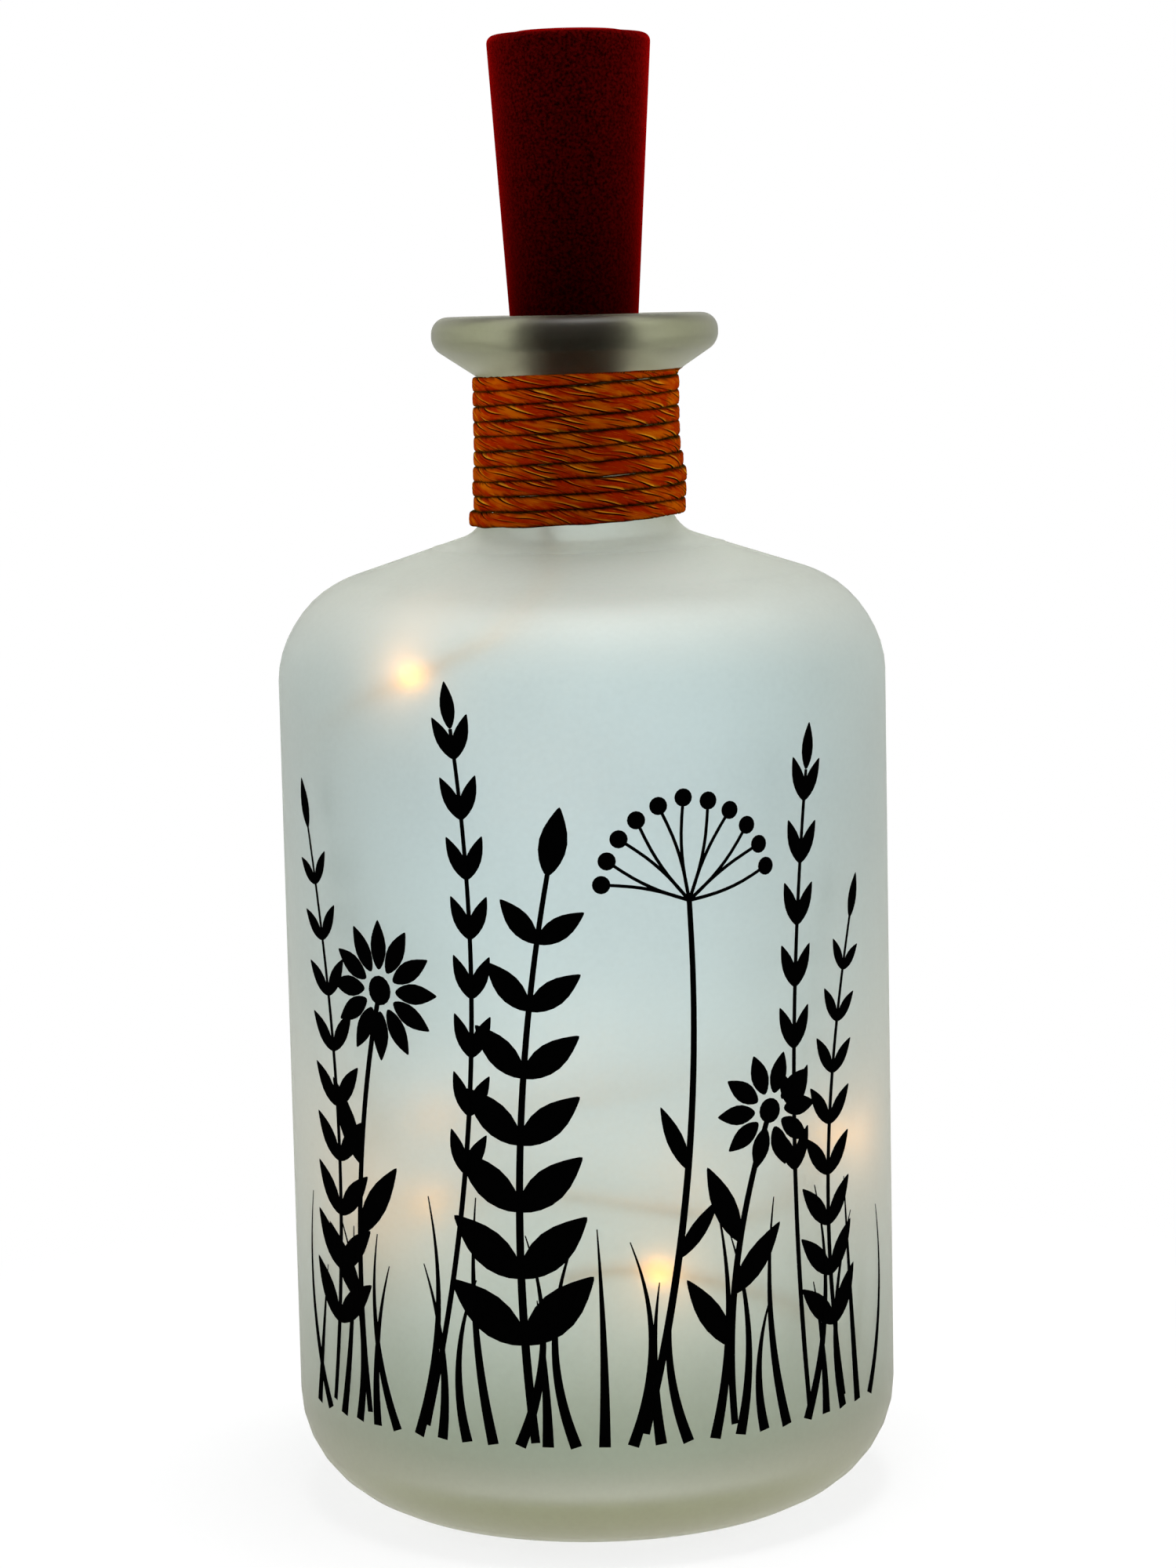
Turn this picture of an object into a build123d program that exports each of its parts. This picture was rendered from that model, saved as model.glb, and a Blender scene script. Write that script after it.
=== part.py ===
from build123d import *
import os
from math import acos, atan, ceil, cos, degrees, pi, radians, sin, sqrt, tan

os.makedirs("parts", exist_ok=True)

# Cork bottle light: a frosted round bottle with a flared lip, twine wound round its neck, and a
# cork-shaped battery stopper that feeds a string of ten small lights inside the glass.
# Millimetres, +Z up. The origin is the middle of the face that the bottle stands on, and -Y is its front.

# Bottle. Its shoulder rises steeply to the crown and then flatter to the neck.
body_r = 40.5
bottle_h = 158.6
glass_wall = 3.2
foot_r = 26.0
foot_ring_width = 3.0
punt_h = 3.0
punt_flat_r = 13.0
floor_z = 8.0
floor_round_r = 9.0
head_h = 39.0
shoulder_round_r = 13.8
crown_r = 31.3
crown_slope = 26.8
crown_round_r = 12.0
shoulder_slope = 18.2
neck_r = 12.1
neck_round_r = 5.0
bore_round_r = 4.0
lip_r = 19.0
lip_side_h = 4.0
lip_slope = 33.7
lip_under_round_r = 2.4
lip_top_round_r = 2.2
flare_round_r = 1.5
mouth_round_r = 0.4

# Cork, a stopper that tapers into the mouth
cork_len = 50.0
cork_insert = 13.5
cork_bottom_r = 7.7
cork_top_r = 10.9
cork_rim_round_r = 1.0
cork_fit = 0.15
cap_recess_r = 8.9
partition_t = 1.6
lower_bore_r = 6.2

# Button cells and the insert that holds them
cell_count = 3
cell_r = 5.8
cell_h = 5.4
cell_top_r = 4.6
cell_step_h = 0.7
cell_fit = 0.15
cradle_wall = 1.25
cradle_floor_t = 1.2
cradle_roof_t = 1.0
cradle_lift = 0.4
cradle_fit = 0.3
switch_bay_h = 3.2
cap_t = 3.9
cap_fit = 0.15
cap_seat_gap = 0.1
cap_dome_h = 0.4
cap_slope_w = 2.0
notch_w = 3.0
notch_deep = 1.0
notch_h = 1.2

# Slide switch
knob_l = 2.6
knob_w = 2.2
knob_h = 3.2
knob_travel = 2.0
knob_below_top = 0.3
stem_l = 1.2
stem_w = 1.0
stem_h = 1.0
switch_l = 8.0
switch_w = 4.2
switch_h = 2.6
slot_fit = 0.3

# Contacts, board and the gland that the lead leaves by
contact_t = 0.3
contact_w = 2.2
contact_gap = 0.05
spring_hole_r = 3.4
spring_base_l = 4.0
terminal_w = 2.5
terminal_inset = 0.8
board_l = 8.4
board_w = 8.0
board_t = 1.0
board_gap = 0.3
leg_below_board = 0.7
resistor_l = 2.0
resistor_w = 1.2
resistor_t = 0.6
plug_t = 3.0
plug_fit = 0.1
gland_x = -4.0
gland_y = -2.0
grommet_r = 0.95
grommet_flange_r = 1.6
grommet_flange_t = 0.6
grommet_fit = 0.05

# Twine, wound from the shoulder up to the lip
twine_d = 1.5
twine_pitch = 1.92
twine_rows = 10
twine_rise = 1.05
twine_gap = 0.12
# The twine's four-sided section, a little flattened against the neck, as shares of half its thickness
twine_section_shares = [(0.87, 0.0), (0.0, 1.0), (-0.87, 0.0), (0.0, -1.0)]

# Light string, a flat twin wire with drops of clear resin on it
wire_w = 0.8
wire_t = 0.4
wire_fit = 0.05
arc_share = 0.45
led_drop_l = 4.2
led_drop_r = 1.6
led_drop_end_share = 0.55
chip_l = 1.4
chip_w = 0.9
chip_t = 0.4
chip_fit = 0.05

# Rounds are turned as chords that stay this close to the arc, and small round things as prisms
chord_error = 0.25
small_sides = 8

# Heights and radii that follow from the sizes above
shoulder_corner_z = bottle_h - head_h
crown_z = shoulder_corner_z + (body_r - crown_r) * tan(radians(crown_slope))
neck_corner_z = crown_z + (crown_r - neck_r) * tan(radians(shoulder_slope))
lip_corner_z = bottle_h - lip_side_h
flare_corner_z = lip_corner_z - (lip_r - neck_r) * tan(radians(lip_slope))
inner_r = body_r - glass_wall
heel_round_r = body_r - foot_r
twine_start_z = neck_corner_z + twine_rise
cork_bottom_z = bottle_h - cork_insert
cork_top_z = cork_bottom_z + cork_len
gland_z = cork_bottom_z - grommet_flange_t
bore_r = cork_bottom_r + (cork_top_r - cork_bottom_r) * cork_insert / cork_len + cork_fit
cap_r = cap_recess_r - cap_fit
cap_bottom_z = cork_top_z - cap_t
recess_z = cap_bottom_z - cap_seat_gap
cradle_r = cell_r + cell_fit + cradle_wall
cell_bore_r = cradle_r + cradle_fit
cell_top_z = cap_bottom_z - switch_bay_h - cradle_roof_t - contact_t - 2 * contact_gap
cell_bottom_z = cell_top_z - cell_count * cell_h
cradle_bottom_z = cell_bottom_z - cradle_floor_t
partition_top_z = cradle_bottom_z - cradle_lift
partition_bottom_z = partition_top_z - partition_t
bay_z = cap_bottom_z - switch_bay_h
switch_bottom_z = cap_bottom_z - switch_h
board_top_z = partition_bottom_z - board_gap
board_bottom_z = board_top_z - board_t
leg_end_z = board_bottom_z - leg_below_board
groove_y = cradle_r - cradle_wall / 2
return_leg_y = board_w / 2 - contact_t - slot_fit
wire_hole_r = sqrt(wire_w**2 + wire_t**2) / 2 + wire_fit
chip_place = Pos(wire_hole_r + wire_fit + chip_t / 2, 0, 0)

# The string's route, from the stopper's gland down through the neck, then round the inside of the glass.
# Each light sits at the middle of one run of it.
string_points = [
    (gland_x, gland_y, gland_z), (-4, -4.5, 126.9), (-3, -22, 121.4), (-14.5, -30.5, 115.9),
    (-26.7, -23.5, 110.9), (-34.4, -4, 101.9), (-29, 18, 96.4), (-12, 32.3, 94.4), (6, 33.7, 91.4),
    (24, 25, 84.9), (34.4, 7, 72.9), (33.5, -5, 60.9), (25.5, -25, 41.3), (7, -33.6, 45.9),
    (-13, -29, 48.4), (-28, -11, 40), (-29, 7, 38.4), (-17, 21, 36.4), (1, 28.5, 34.9),
    (19, 27.5, 34.4), (31, 13, 37.4), (18.5, -3, 42.9), (7.3, -17, 44.9), (-8, -17.5, 46.9),
    (-17, -4, 49.9), (-10, 11, 53.4), (6, 14, 55.4), (18, 4, 57.9), (17, -12, 58.9), (3, -24, 58.4),
    (-14, -22, 55.9), (-25, -8, 53.3), (-31.5, 9, 43.9), (-23.5, 27, 31.9), (-6, 33, 20.9),
    (12, 30.5, 13.9), (26, 14, 9.7), (33, -4, 16.9), (27.5, -21, 28.9), (13.9, -32.1, 36.5),
    (2.1, -33.9, 38.7), (-4, -34.2, 37.1),
]
light_runs = [3, 7, 11, 14, 18, 21, 25, 30, 34, 39]


def rounded(corners):
    """Closed outline through corners (r, z, radius), each rounded by chords of its arc."""
    points = []
    for i, (x, y, radius) in enumerate(corners):
        corner = Vector(x, y)
        if radius == 0:
            points.append(corner)
            continue
        back = (Vector(*corners[i - 1][:2]) - corner).normalized()
        ahead = (Vector(*corners[(i + 1) % len(corners)][:2]) - corner).normalized()
        half = back.get_angle(ahead) / 2
        turn = 180 - 2 * half
        side = 1 if back.cross(ahead).Z < 0 else -1
        middle = corner + (back + ahead).normalized() * (radius / sin(radians(half)))
        spoke = corner + back * (radius / tan(radians(half))) - middle
        chords = ceil(turn / degrees(2 * acos(max(1 - chord_error / radius, 0))))
        points += [middle + spoke.rotate(Axis.Z, side * turn * k / chords) for k in range(chords + 1)]
    return points


def turned(corners):
    """Solid of revolution about Z."""
    return revolve(Plane.XZ * make_face(Polyline(*rounded(corners), close=True)), Axis.Z)


def drum(radius, bottom, top, x=0, y=0):
    return Pos(x, y, bottom) * Cylinder(radius, top - bottom, align=(Align.CENTER, Align.CENTER, Align.MIN))


def block(x_size, y_size, bottom, top, x=0, y=0):
    return Pos(x, y, (bottom + top) / 2) * Box(x_size, y_size, top - bottom)


def bent_strip(points, thickness, width):
    """Strip of metal bent in the YZ plane along the points, with square bends."""
    places = [Vector(*p) for p in points]
    sides = []
    for i, place in enumerate(places):
        before = (place - places[i - 1]).normalized() if i else None
        after = (places[i + 1] - place).normalized() if i + 1 < len(places) else None
        way = ((before or after) + (after or before)).normalized()
        reach = thickness / 2 / way.dot(after or before)
        sides.append(Vector(-way.Y, way.X) * reach)
    left = [place + side for place, side in zip(places, sides)]
    right = [place - side for place, side in zip(places, sides)]
    outline = make_face(Polyline(*left, *reversed(right), close=True))
    return extrude(Plane.YZ * outline, width / 2, both=True)


def bottle_corners():
    """The bottle's half section. Its inner skin lies a wall's thickness inside the shoulder's two slopes."""
    low_slope, high_slope = radians(crown_slope), radians(shoulder_slope)
    low_way = Vector(sin(low_slope), cos(low_slope))
    high_way = Vector(sin(high_slope), cos(high_slope))
    crown = Vector(crown_r, crown_z) - (low_way + high_way) * (glass_wall / (1 + low_way.dot(high_way)))
    inner_shoulder_z = crown.Y - (inner_r - crown.X) * tan(low_slope)
    inner_neck_z = crown.Y + (crown.X - bore_r) * tan(high_slope)
    return [
        (0, punt_h, 0),
        (punt_flat_r, punt_h, 0),
        (foot_r - foot_ring_width, 0, 0),
        (body_r, 0, heel_round_r),
        (body_r, shoulder_corner_z, shoulder_round_r),
        (crown_r, crown_z, crown_round_r),
        (neck_r, neck_corner_z, neck_round_r),
        (neck_r, flare_corner_z, flare_round_r),
        (lip_r, lip_corner_z, lip_under_round_r),
        (lip_r, bottle_h, lip_top_round_r),
        (bore_r, bottle_h, mouth_round_r),
        (bore_r, inner_neck_z, bore_round_r),
        (crown.X, crown.Y, 0),
        (inner_r, inner_shoulder_z, shoulder_round_r - glass_wall),
        (inner_r, floor_z, floor_round_r),
        (0, floor_z, 0),
    ]


def outer_radius(outline, z):
    """Radius of the glass's outer skin at a height, where the outline first climbs past it."""
    for low, high in zip(outline, outline[1:]):
        if low.Y <= z < high.Y:
            return low.X + (high.X - low.X) * (z - low.Y) / (high.Y - low.Y)


def biarc(start, start_way, end, end_way):
    """Two arcs from start to end that keep both directions."""
    across = end - start
    ways = start_way + end_way
    a = 2 * (1 - start_way.dot(end_way))
    b = 2 * across.dot(ways)
    reach = (-b + sqrt(b * b + 4 * a * across.dot(across))) / (2 * a)
    first = start + start_way * reach
    last = end - end_way * reach
    joint = (first + last) * 0.5
    return [
        Edge.make_tangent_arc(start, start_way, joint),
        Edge.make_tangent_arc(joint, (last - first).normalized(), end),
    ]


def winding_radius(outline, z):
    """Radius at which the twine's middle line clears the neck, above and below its own height too."""
    reach = twine_d / 2 + twine_gap
    steps = [reach * sin(radians(angle)) for angle in range(-90, 91, 15)]
    return max(outer_radius(outline, z + step) + sqrt(max(reach**2 - step**2, 0)) for step in steps)


def winding_path():
    """The twine's middle line, half a turn to each pair of arcs, close on the neck's surface."""
    outline = rounded(bottle_corners())
    places, ways = [], []
    for k in range(2 * twine_rows + 1):
        angle = pi / 2 + pi * k
        z = twine_start_z + twine_pitch * k / 2
        r = winding_radius(outline, z)
        places.append(Vector(r * cos(angle), r * sin(angle), z))
        ways.append(Vector(-sin(angle), cos(angle), twine_pitch / (2 * pi * r)).normalized())
    edges = [Edge.make_line(places[0] - ways[0] * twine_d, places[0])]
    for k in range(2 * twine_rows):
        edges += biarc(places[k], ways[k], places[k + 1], ways[k + 1])
    edges.append(Edge.make_line(places[-1], places[-1] + ways[-1] * twine_d))
    return Wire(edges)


def least_gap(path, thickness, apart):
    """Least distance between stretches of a path that lie apart along it, less its thickness."""
    count = ceil(path.length / thickness)
    places = [path.position_at(k / count) for k in range(count + 1)]
    skip = ceil(apart / thickness)
    pairs = ((a, b) for i, a in enumerate(places) for b in places[i + skip:])
    return min((a - b).length for a, b in pairs) - thickness


def twine_wrap(path):
    start = path.position_at(0)
    outward = Vector(start.X, start.Y, 0).normalized()
    half = twine_d / 2
    section = make_face(Polyline(*[(x * half, y * half) for x, y in twine_section_shares], close=True))
    return sweep(Plane(start, x_dir=outward, z_dir=path.tangent_at(0)) * section, path)


def wire_path(points):
    """Straight runs joined by arcs as large as the runs allow."""
    places = [Vector(*p) for p in points]
    radii = []
    for before, corner, after in zip(places, places[1:], places[2:]):
        turn = (corner - before).get_angle(after - corner)
        shorter = min((corner - before).length, (after - corner).length)
        radii.append(arc_share * shorter / tan(radians(turn / 2)))
    print("wire arc radii", [round(r, 1) for r in radii])
    return FilletPolyline(*places, radius=radii)


def wire_along(points):
    path = wire_path(points)
    wire = sweep(Plane(path @ 0, z_dir=path % 0) * Rectangle(wire_w, wire_t), path)
    share = wire.volume / (path.length * wire_w * wire_t)
    print("wire length", round(path.length, 1), "volume share", round(share, 4))
    return wire


def light_plane(run):
    """Plane across the middle of a run, its Z along the wire."""
    start, end = Vector(*string_points[run]), Vector(*string_points[run + 1])
    return Plane((start + end) / 2, z_dir=end - start)


def led_drop(run):
    half_l = led_drop_l / 2
    waist = RegularPolygon(led_drop_r, small_sides, major_radius=False)
    taper = degrees(atan(led_drop_r * (1 - led_drop_end_share) / half_l))
    half = extrude(waist, half_l, taper=taper)
    shell = half + mirror(half, Plane.XY)
    shell -= extrude(RegularPolygon(wire_hole_r, small_sides, major_radius=False), half_l, both=True)
    shell -= chip_place * Box(chip_t + 2 * chip_fit, chip_w + 2 * chip_fit, chip_l + 2 * chip_fit)
    return light_plane(run) * shell


def led_chips():
    return [light_plane(run) * chip_place * Box(chip_t, chip_w, chip_l) for run in light_runs]


def lead_end():
    """Where the lead meets the first light, at the drop's upper face."""
    place = light_plane(light_runs[0])
    return tuple(place.origin - place.z_dir * (led_drop_l / 2))


def cork_shell():
    shell = turned([
        (lower_bore_r, cork_bottom_z, 0),
        (cork_bottom_r, cork_bottom_z, 0),
        (cork_top_r, cork_top_z, cork_rim_round_r),
        (cap_recess_r, cork_top_z, 0),
        (cap_recess_r, recess_z, 0),
        (cell_bore_r, recess_z, 0),
        (cell_bore_r, partition_top_z, 0),
        (0, partition_top_z, 0),
        (0, partition_bottom_z, 0),
        (lower_bore_r, partition_bottom_z, 0),
    ])
    spring_leg = block(contact_w + slot_fit, contact_t + slot_fit, partition_bottom_z, partition_top_z,
                       y=-spring_base_l / 2)
    return_leg = block(contact_w + slot_fit, contact_t + slot_fit, partition_bottom_z, partition_top_z,
                       y=return_leg_y)
    return shell - spring_leg - return_leg


def at_gland(radius, bottom, top):
    """Small prism in line with the lead's way out of the cork."""
    face = RegularPolygon(radius, small_sides, major_radius=False)
    return Pos(gland_x, gland_y, bottom) * extrude(face, top - bottom)


def bottom_plug():
    disc = drum(lower_bore_r - plug_fit, cork_bottom_z, cork_bottom_z + plug_t)
    return disc - at_gland(grommet_r + grommet_fit, cork_bottom_z, cork_bottom_z + plug_t)


def lead_grommet():
    sleeve = at_gland(grommet_r, gland_z, cork_bottom_z + plug_t)
    flange = at_gland(grommet_flange_r, gland_z, cork_bottom_z)
    return sleeve + flange - at_gland(wire_hole_r, gland_z, cork_bottom_z + plug_t)


def contact_spring():
    """Leaf that presses on the lowest cell through the cradle's floor, with a leg down to the board."""
    base_z = partition_top_z + contact_t / 2
    top_z = cell_bottom_z - contact_t / 2 - contact_gap
    half = spring_base_l / 2
    return bent_strip([
        (-half, leg_end_z), (-half, base_z), (half, base_z), (-half / 2, top_z), (half / 2, top_z),
    ], contact_t, contact_w)


def return_contact():
    """Pad that the insert's return strip lands on, with a leg down to the board."""
    pad_z = partition_top_z + contact_t / 2
    return bent_strip([(return_leg_y, leg_end_z), (return_leg_y, pad_z), (cell_bore_r - cradle_fit, pad_z)],
                      contact_t, contact_w)


def driver_board():
    board = block(board_l, board_w, board_bottom_z, board_top_z)
    for y in (-spring_base_l / 2, return_leg_y):
        board -= block(contact_w + slot_fit, contact_t + slot_fit, board_bottom_z, board_top_z, y=y)
    return board


def board_resistor():
    return block(resistor_l, resistor_w, board_bottom_z - resistor_t, board_bottom_z,
                 x=board_l / 2 - resistor_l)


def inner_lead():
    return block(wire_w, wire_t, gland_z, board_bottom_z, gland_x, gland_y)


def end_cap():
    cap = turned([
        (0, cap_bottom_z, 0),
        (cap_r, cap_bottom_z, 0),
        (cap_r, cork_top_z, 0),
        (cap_r - cap_slope_w, cork_top_z + cap_dome_h, 0),
        (0, cork_top_z + cap_dome_h, 0),
    ])
    window = block(knob_l + knob_travel + 2 * slot_fit, knob_w + 2 * slot_fit,
                   cap_bottom_z, cork_top_z + cap_dome_h)
    notch = block(notch_w, 2 * notch_deep, cork_top_z - notch_h, cork_top_z + cap_dome_h, y=cap_r)
    return cap - window - notch


def battery_cradle():
    """Open half tube that the cells clip into, hung from the cap."""
    pocket_r = cell_r + cell_fit
    cradle = drum(cradle_r, cradle_bottom_z, cap_bottom_z)
    cradle -= drum(pocket_r, cell_bottom_z, cell_top_z + contact_t + 2 * contact_gap)
    cradle -= block(2 * pocket_r, cradle_r, cell_bottom_z, cell_top_z + contact_t + 2 * contact_gap,
                    y=-cradle_r / 2)
    cradle -= drum(spring_hole_r, cradle_bottom_z, cell_bottom_z)
    cradle -= block(switch_l + 2 * slot_fit, 2 * cradle_r, bay_z, cap_bottom_z)
    cradle -= block(contact_w + slot_fit, cradle_r - groove_y, cradle_bottom_z, bay_z,
                    y=(cradle_r + groove_y) / 2)
    return cradle - block(terminal_w + slot_fit, contact_t + slot_fit, cell_top_z, bay_z)


def button_cell(number):
    bottom = cell_bottom_z + number * cell_h
    can_top = bottom + cell_h - cell_step_h
    return drum(cell_r, bottom, can_top) + drum(cell_top_r, can_top, bottom + cell_h)


def top_contact():
    """Leaf on the highest cell, with a tongue up to the switch."""
    leaf_z = cell_top_z + contact_gap + contact_t / 2
    return bent_strip([(-cell_r / 2, leaf_z), (0, leaf_z), (0, switch_bottom_z)], contact_t, terminal_w)


def return_strip():
    """Strip from the switch down the cradle's back to a foot over the return contact."""
    strip_y = groove_y + contact_t / 2 + contact_gap
    foot_z = cradle_bottom_z + contact_t / 2
    tab_z = bay_z + contact_t / 2 + contact_gap
    tongue_y = switch_w / 2 - terminal_inset
    return bent_strip([(tongue_y, switch_bottom_z), (tongue_y, tab_z), (strip_y, tab_z), (strip_y, foot_z)],
                      contact_t, contact_w)


def switch_housing():
    housing = block(switch_l, switch_w, switch_bottom_z, cap_bottom_z)
    return housing - block(stem_l + knob_travel + 2 * slot_fit, stem_w + 2 * slot_fit,
                           cap_bottom_z - stem_h - slot_fit, cap_bottom_z)


def switch_knob():
    knob_top = cork_top_z - knob_below_top
    rest_x = -knob_travel / 2
    pad = block(knob_l, knob_w, knob_top - knob_h, knob_top, x=rest_x)
    return pad + block(stem_l, stem_w, cap_bottom_z - stem_h, knob_top - knob_h, x=rest_x)


twine_path = winding_path()
print("twine length", round(twine_path.length, 1))
print("twine least gap", round(least_gap(twine_path, twine_d, 4 * twine_d), 3))

first_light = light_runs[0]
parts = {
    "glass_bottle": turned(bottle_corners()),
    "twine_wrap": twine_wrap(twine_path),
    "string_lead": wire_along(string_points[:first_light + 1] + [lead_end()]),
    "string_wire": wire_along([lead_end()] + string_points[first_light + 1:]),
    "led_chips": Compound(led_chips()),
    "cork_shell": cork_shell(),
    "bottom_plug": bottom_plug(),
    "lead_grommet": lead_grommet(),
    "contact_spring": contact_spring(),
    "return_contact": return_contact(),
    "driver_board": driver_board(),
    "board_resistor": board_resistor(),
    "inner_lead": inner_lead(),
    "end_cap": end_cap(),
    "battery_cradle": battery_cradle(),
    "top_contact": top_contact(),
    "return_strip": return_strip(),
    "switch_housing": switch_housing(),
    "switch_knob": switch_knob(),
}
for number, run in enumerate(light_runs, 1):
    parts[f"led_drop_{number:02d}"] = led_drop(run)
for number in range(cell_count):
    parts[f"button_cell_{number + 1}"] = button_cell(number)

for name, shape in parts.items():
    export_step(shape, f"parts/{name}.step")
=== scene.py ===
# %% [markdown]
# # Cork bottle light
# A frosted round bottle, a stopper shaped like a cork that holds the cells, twine round the neck and a
# string of small warm lights inside the glass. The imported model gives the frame: every piece below is
# made in metres, in that frame, with -Y as the front and the origin under the middle of the bottle.

# %% The frame
from math import cos, pi, radians, sin, sqrt, tan

import bmesh
import bpy
from mathutils import Euler, Matrix, Vector, noise


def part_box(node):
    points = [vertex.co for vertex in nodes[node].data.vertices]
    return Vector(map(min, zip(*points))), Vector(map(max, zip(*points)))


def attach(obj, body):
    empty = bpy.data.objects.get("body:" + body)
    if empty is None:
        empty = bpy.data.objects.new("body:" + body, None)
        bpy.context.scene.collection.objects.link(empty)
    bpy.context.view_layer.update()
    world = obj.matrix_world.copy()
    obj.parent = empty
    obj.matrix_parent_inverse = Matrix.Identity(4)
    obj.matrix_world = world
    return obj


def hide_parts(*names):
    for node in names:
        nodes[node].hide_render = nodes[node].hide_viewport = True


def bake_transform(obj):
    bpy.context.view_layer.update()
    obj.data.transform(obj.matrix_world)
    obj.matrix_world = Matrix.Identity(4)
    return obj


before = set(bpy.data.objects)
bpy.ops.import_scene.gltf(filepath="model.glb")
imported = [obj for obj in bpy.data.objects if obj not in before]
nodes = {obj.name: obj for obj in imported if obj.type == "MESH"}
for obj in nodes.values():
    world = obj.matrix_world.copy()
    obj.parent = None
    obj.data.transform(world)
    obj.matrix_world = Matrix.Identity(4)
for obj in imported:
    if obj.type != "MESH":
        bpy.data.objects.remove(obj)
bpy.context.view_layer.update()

MM = 0.001

# %% [markdown]
# ## The camera
# The lip, the rows of twine and the foot are foreshortened by different amounts, and that gives the
# camera's height and tilt. It stands half a metre away and looks a little down, with a small roll.
# A vertical sensor keeps the framing the same whatever the width of the picture is.

# %% The camera
camera_distance = 509 * MM
camera_height = 161.6 * MM
camera_side = 0.48 * MM
camera_pitch = 7.35
camera_roll = 1.25
sensor_height = 36
focal_share = 2.435

pitched = Euler((radians(90 - camera_pitch), 0, 0)).to_matrix()
tilt = pitched @ Matrix.Rotation(radians(-camera_roll), 3, "Z")
bpy.ops.object.camera_add(location=(camera_side, -camera_distance, camera_height), rotation=tilt.to_euler())
camera = bpy.context.object
camera.name = "camera"
camera.data.sensor_fit = "VERTICAL"
camera.data.sensor_height = sensor_height
camera.data.lens = focal_share * sensor_height
bpy.context.scene.camera = camera

# %% [markdown]
# ## The light string
# A thin flat twin wire hangs from the stopper's gland and runs round the inside of the glass. A smooth
# NURBS line through the route is what such a wire does by itself: springy, with no corners. The line
# passes through the middle of each run between two points, and that is where a light sits.
# Its section is two wires side by side, drawn as one outline with a waist.

# %% The route of the light string
string_points = [
    (-0.004, -0.002, 0.1445), (-0.004, -0.0045, 0.1269), (-0.003, -0.022, 0.1214),
    (-0.0145, -0.0305, 0.1159), (-0.0267, -0.0235, 0.1109), (-0.0344, -0.004, 0.1019),
    (-0.029, 0.018, 0.0964), (-0.012, 0.0323, 0.0944), (0.006, 0.0337, 0.0914), (0.024, 0.025, 0.0849),
    (0.0344, 0.007, 0.0729), (0.0335, -0.005, 0.0609), (0.0255, -0.025, 0.0413),
    (0.007, -0.0336, 0.0459), (-0.013, -0.029, 0.0484), (-0.028, -0.011, 0.04), (-0.029, 0.007, 0.0384),
    (-0.017, 0.021, 0.0364), (0.001, 0.0285, 0.0349), (0.019, 0.0275, 0.0344), (0.031, 0.013, 0.0374),
    (0.0185, -0.003, 0.0429), (0.0073, -0.017, 0.0449), (-0.008, -0.0175, 0.0469),
    (-0.017, -0.004, 0.0499), (-0.010, 0.011, 0.0534), (0.006, 0.014, 0.0554), (0.018, 0.004, 0.0579),
    (0.017, -0.012, 0.0589), (0.003, -0.024, 0.0584), (-0.014, -0.022, 0.0559),
    (-0.025, -0.008, 0.0533), (-0.0315, 0.009, 0.0439), (-0.0235, 0.027, 0.0319),
    (-0.006, 0.033, 0.0209), (0.012, 0.0305, 0.0139), (0.026, 0.014, 0.0097), (0.033, -0.004, 0.0169),
    (0.0275, -0.021, 0.0289), (0.0139, -0.0321, 0.0365), (0.0021, -0.0339, 0.0387),
    (-0.004, -0.0342, 0.0371),
]
light_runs = [3, 7, 11, 14, 18, 21, 25, 30, 34, 39]
wire_w = 0.8 * MM
wire_t = 0.4 * MM


# %% Helpers for curves and meshes
def add_object(name, data):
    """Puts a new object that shows this data in the scene."""
    obj = bpy.data.objects.new(name, data)
    bpy.context.collection.objects.link(obj)
    return obj


def nurbs_line(name, points, steps, closed=False):
    """A smooth line that follows the points. A closed one is flat, an outline to draw along another."""
    curve = bpy.data.curves.new(name, "CURVE")
    curve.dimensions = "2D" if closed else "3D"
    curve.resolution_u = steps
    spline = curve.splines.new("NURBS")
    spline.points.add(len(points) - 1)
    for knot, place in zip(spline.points, points):
        knot.co = (*place, 1)
    spline.order_u = 3
    spline.use_endpoint_u = not closed
    spline.use_cyclic_u = closed
    return add_object(name, curve)


def points_along(line):
    """The points of a curve that has no bevel."""
    bpy.context.view_layer.update()
    mesh = bpy.data.meshes.new_from_object(line.evaluated_get(bpy.context.evaluated_depsgraph_get()))
    places = [vertex.co.copy() for vertex in mesh.vertices]
    bpy.data.meshes.remove(mesh)
    return places


def only(obj):
    """Selects one object and makes it the active one."""
    bpy.ops.object.select_all(action="DESELECT")
    obj.select_set(True)
    bpy.context.view_layer.objects.active = obj


def start_editing(obj):
    """Opens one mesh in edit mode, with all of it selected."""
    only(obj)
    bpy.ops.object.mode_set(mode="EDIT")
    bpy.ops.mesh.select_all(action="SELECT")


def turn_faces_out(obj):
    start_editing(obj)
    bpy.ops.mesh.normals_make_consistent(inside=False)
    bpy.ops.object.mode_set(mode="OBJECT")


def drawn_along(line, outline):
    """Draws the outline along the line and makes it a mesh with closed ends."""
    line.data.bevel_mode = "OBJECT"
    line.data.bevel_object = outline
    line.data.use_fill_caps = True
    only(line)
    bpy.ops.object.convert(target="MESH")
    bpy.data.objects.remove(outline)
    return bpy.context.object


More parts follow.
